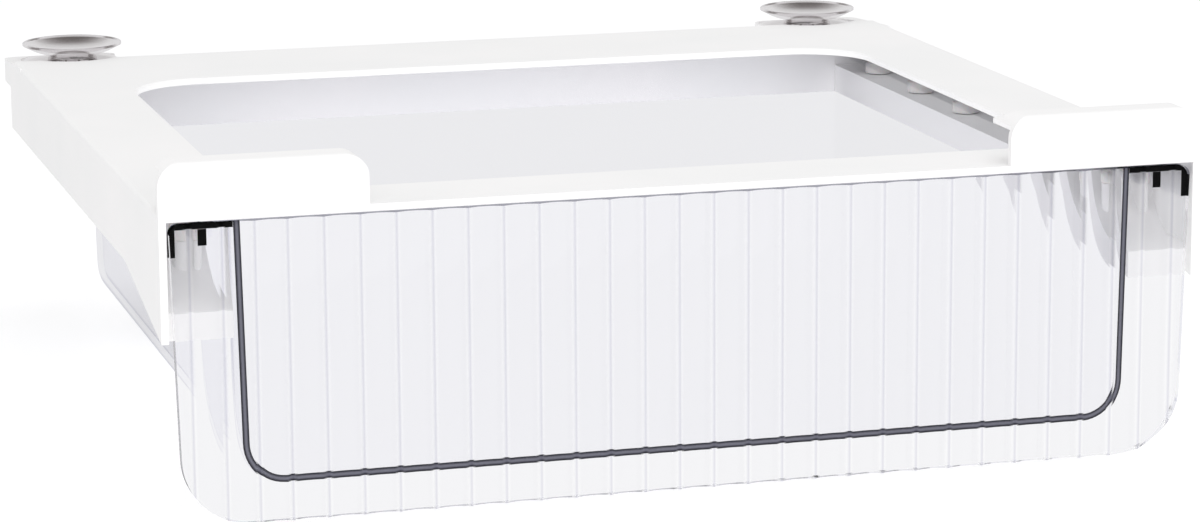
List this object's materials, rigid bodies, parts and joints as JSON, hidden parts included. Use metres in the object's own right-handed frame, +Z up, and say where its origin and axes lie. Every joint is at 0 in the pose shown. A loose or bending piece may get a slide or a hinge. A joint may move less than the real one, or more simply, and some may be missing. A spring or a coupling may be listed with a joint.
{
  "type": "fridge drawer organizer",
  "caption": "Clear drawer with a fluted front that slides on rollers in a white frame, which hooks over a shelf's front edge and sticks under it with suction cups.",
  "frame": {"origin": "middle of the top plate's front edge, on its top face, where the shelf's front lower edge comes to lie", "axes": "+X to the right seen from the front, +Y from the front to the back, along the way the shelf goes into the hooks, +Z up"},
  "size_m": [0.32, 0.3234, 0.1068],
  "materials": {
    "white_plastic": "injection moulded ABS, fine satin",
    "roller_plastic": "moulded acetal, self-lubricating, dull",
    "clear_plastic": "clear moulded styrene or PET, polished, faint lavender tint",
    "clear_cup": "soft clear PVC, smooth"
  },
  "bodies": {
    "frame": {"top_frame": "white_plastic", "left_side_rail": "white_plastic", "left_suction_cup": "clear_cup", "left_roller_pin_1": "roller_plastic", "left_roller_pin_2": "roller_plastic", "left_roller_pin_3": "roller_plastic", "left_roller_pin_4": "roller_plastic", "right_side_rail": "white_plastic", "right_suction_cup": "clear_cup", "right_roller_pin_1": "roller_plastic", "right_roller_pin_2": "roller_plastic", "right_roller_pin_3": "roller_plastic", "right_roller_pin_4": "roller_plastic"},
    "drawer": {"drawer_tray": "clear_plastic", "drawer_front": "clear_plastic"},
    "left_roller_1": {"left_guide_roller_1": "roller_plastic"},
    "left_roller_2": {"left_guide_roller_2": "roller_plastic"},
    "left_roller_3": {"left_guide_roller_3": "roller_plastic"},
    "left_roller_4": {"left_guide_roller_4": "roller_plastic"},
    "right_roller_1": {"right_guide_roller_1": "roller_plastic"},
    "right_roller_2": {"right_guide_roller_2": "roller_plastic"},
    "right_roller_3": {"right_guide_roller_3": "roller_plastic"},
    "right_roller_4": {"right_guide_roller_4": "roller_plastic"}
  },
  "joints": [
    {"name": "drawer_slide", "type": "slide", "parent": "frame", "child": "drawer", "axis": [0, -1, 0], "range_m": [0, 0.18]},
    {"name": "left_roller_1_spin", "type": "hinge", "parent": "frame", "child": "left_roller_1", "pos_m": [-0.1471, 0.0315, -0.0109], "axis": [0, 0, 1], "continuous": true},
    {"name": "left_roller_2_spin", "type": "hinge", "parent": "frame", "child": "left_roller_2", "pos_m": [-0.1471, 0.165, -0.0109], "axis": [0, 0, 1], "continuous": true},
    {"name": "left_roller_3_spin", "type": "hinge", "parent": "frame", "child": "left_roller_3", "pos_m": [-0.1471, 0.2095, -0.0109], "axis": [0, 0, 1], "continuous": true},
    {"name": "left_roller_4_spin", "type": "hinge", "parent": "frame", "child": "left_roller_4", "pos_m": [-0.1471, 0.254, -0.0109], "axis": [0, 0, 1], "continuous": true},
    {"name": "right_roller_1_spin", "type": "hinge", "parent": "frame", "child": "right_roller_1", "pos_m": [0.1471, 0.0315, -0.0109], "axis": [0, 0, 1], "continuous": true},
    {"name": "right_roller_2_spin", "type": "hinge", "parent": "frame", "child": "right_roller_2", "pos_m": [0.1471, 0.165, -0.0109], "axis": [0, 0, 1], "continuous": true},
    {"name": "right_roller_3_spin", "type": "hinge", "parent": "frame", "child": "right_roller_3", "pos_m": [0.1471, 0.2095, -0.0109], "axis": [0, 0, 1], "continuous": true},
    {"name": "right_roller_4_spin", "type": "hinge", "parent": "frame", "child": "right_roller_4", "pos_m": [0.1471, 0.254, -0.0109], "axis": [0, 0, 1], "continuous": true}
  ],
  "couplings": [
    {"joint": "left_roller_1_spin", "follows": "drawer_slide", "rad_per_m": -217.39},
    {"joint": "left_roller_2_spin", "follows": "drawer_slide", "rad_per_m": -217.39},
    {"joint": "left_roller_3_spin", "follows": "drawer_slide", "rad_per_m": -217.39},
    {"joint": "left_roller_4_spin", "follows": "drawer_slide", "rad_per_m": -217.39},
    {"joint": "right_roller_1_spin", "follows": "drawer_slide", "rad_per_m": 217.39},
    {"joint": "right_roller_2_spin", "follows": "drawer_slide", "rad_per_m": 217.39},
    {"joint": "right_roller_3_spin", "follows": "drawer_slide", "rad_per_m": 217.39},
    {"joint": "right_roller_4_spin", "follows": "drawer_slide", "rad_per_m": 217.39}
  ]
}
